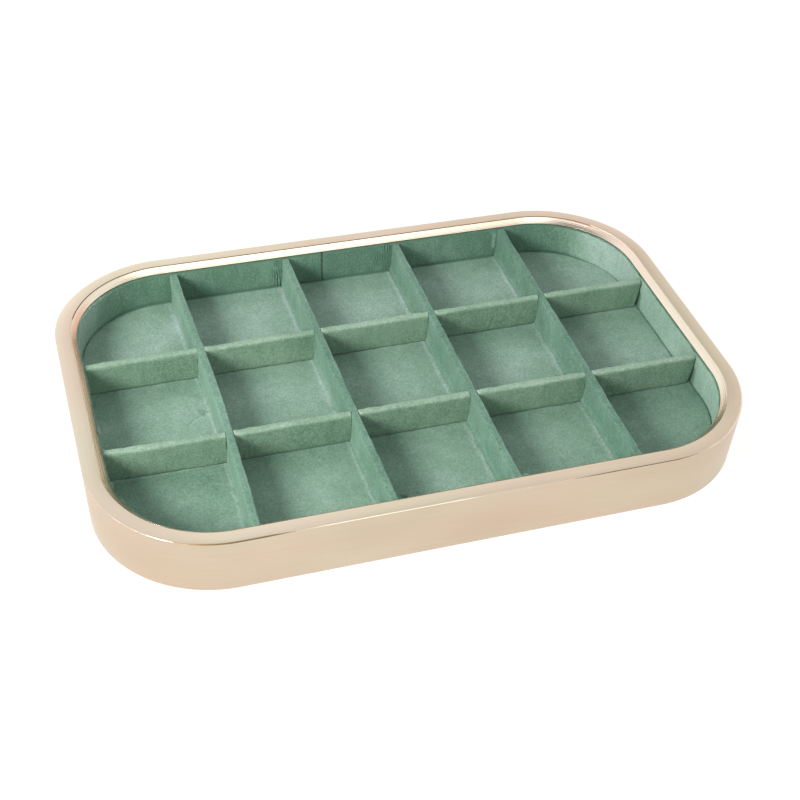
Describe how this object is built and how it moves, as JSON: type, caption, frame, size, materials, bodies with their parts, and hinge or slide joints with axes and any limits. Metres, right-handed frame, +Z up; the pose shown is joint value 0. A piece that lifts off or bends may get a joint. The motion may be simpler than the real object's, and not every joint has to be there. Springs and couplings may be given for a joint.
{
  "type": "jewelry display tray",
  "caption": "Shallow open tray with round corners: a bevelled metal frame, a suede lining and lift-out crossed dividers that make square compartments.",
  "frame": {"origin": "middle of the underside, on the surface that the tray rests on", "axes": "+X along the 300 mm length, to the right seen from the front, +Y across the 200 mm width, to the back, +Z up out of the open compartments"},
  "size_m": [0.3, 0.2, 0.028],
  "materials": {
    "champagne_metal": "fine brushed satin, pale champagne gold",
    "sage_suede": "short-napped suede, sage green",
    "grey_card": "plain grey board",
    "fibreboard": "raw fibreboard"
  },
  "bodies": {
    "tray": {"metal_frame": "champagne_metal", "frame_core": "fibreboard", "base_board": "fibreboard", "backing_sheet": "sage_suede", "floor_card": "grey_card", "floor_lining": "sage_suede", "wall_card": "grey_card", "wall_lining": "sage_suede"},
    "row_dividers": {"row_core_1": "grey_card", "row_core_2": "grey_card", "row_wrap_1": "sage_suede", "row_wrap_2": "sage_suede"},
    "column_divider_1": {"column_core_1": "grey_card", "column_wrap_1": "sage_suede"},
    "column_divider_2": {"column_core_2": "grey_card", "column_wrap_2": "sage_suede"},
    "column_divider_3": {"column_core_3": "grey_card", "column_wrap_3": "sage_suede"},
    "column_divider_4": {"column_core_4": "grey_card", "column_wrap_4": "sage_suede"}
  },
  "joints": [
    {"name": "row_lift", "type": "slide", "parent": "tray", "child": "row_dividers", "axis": [0, 0, 1], "range_m": [0, 0.04]},
    {"name": "column_lift_1", "type": "slide", "parent": "row_dividers", "child": "column_divider_1", "axis": [0, 0, 1], "range_m": [0, 0.03]},
    {"name": "column_lift_2", "type": "slide", "parent": "row_dividers", "child": "column_divider_2", "axis": [0, 0, 1], "range_m": [0, 0.03]},
    {"name": "column_lift_3", "type": "slide", "parent": "row_dividers", "child": "column_divider_3", "axis": [0, 0, 1], "range_m": [0, 0.03]},
    {"name": "column_lift_4", "type": "slide", "parent": "row_dividers", "child": "column_divider_4", "axis": [0, 0, 1], "range_m": [0, 0.03]}
  ]
}
